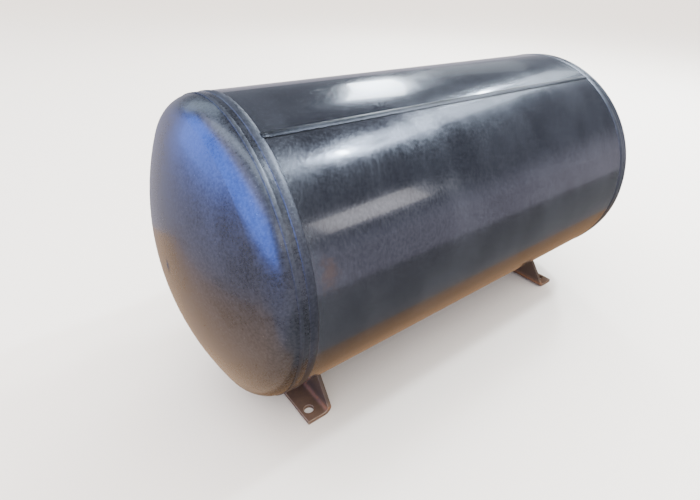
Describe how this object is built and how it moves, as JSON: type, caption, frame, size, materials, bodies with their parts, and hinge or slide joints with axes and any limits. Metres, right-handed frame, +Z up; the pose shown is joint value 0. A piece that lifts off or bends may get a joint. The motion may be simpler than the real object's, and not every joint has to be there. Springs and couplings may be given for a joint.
{
  "type": "horizontal pressure tank",
  "caption": "Horizontal welded steel compressed-air tank with dished ends, bent plate feet with bolt holes, threaded air ports at the back and a plugged drain underneath.",
  "frame": {"origin": "on the ground plane under the feet, at the middle of the foot bolt holes", "axes": "+X along the tank from the left head to the right head, +Y to the back where the air ports are, +Z up"},
  "size_m": [0.817, 0.4219, 0.4479],
  "materials": {
    "dark_blue_paint": "gloss",
    "dark_blue_paint_over_weld": "gloss",
    "zinc_plated_steel": "satin",
    "aluminium_seal": "satin"
  },
  "bodies": {
    "root": {"shell": "dark_blue_paint", "left_head": "dark_blue_paint", "right_head": "dark_blue_paint", "left_foot": "dark_blue_paint", "right_foot": "dark_blue_paint", "inlet_boss": "dark_blue_paint", "outlet_boss": "dark_blue_paint", "drain_boss": "dark_blue_paint", "longitudinal_seam_weld": "dark_blue_paint_over_weld", "left_girth_weld": "dark_blue_paint_over_weld", "right_girth_weld": "dark_blue_paint_over_weld", "left_foot_outer_weld": "dark_blue_paint_over_weld", "left_foot_inner_weld": "dark_blue_paint_over_weld", "right_foot_outer_weld": "dark_blue_paint_over_weld", "right_foot_inner_weld": "dark_blue_paint_over_weld", "inlet_boss_weld": "dark_blue_paint_over_weld", "outlet_boss_weld": "dark_blue_paint_over_weld", "drain_boss_weld": "dark_blue_paint_over_weld", "drain_plug": "zinc_plated_steel", "drain_plug_washer": "aluminium_seal"}
  },
  "joints": []
}
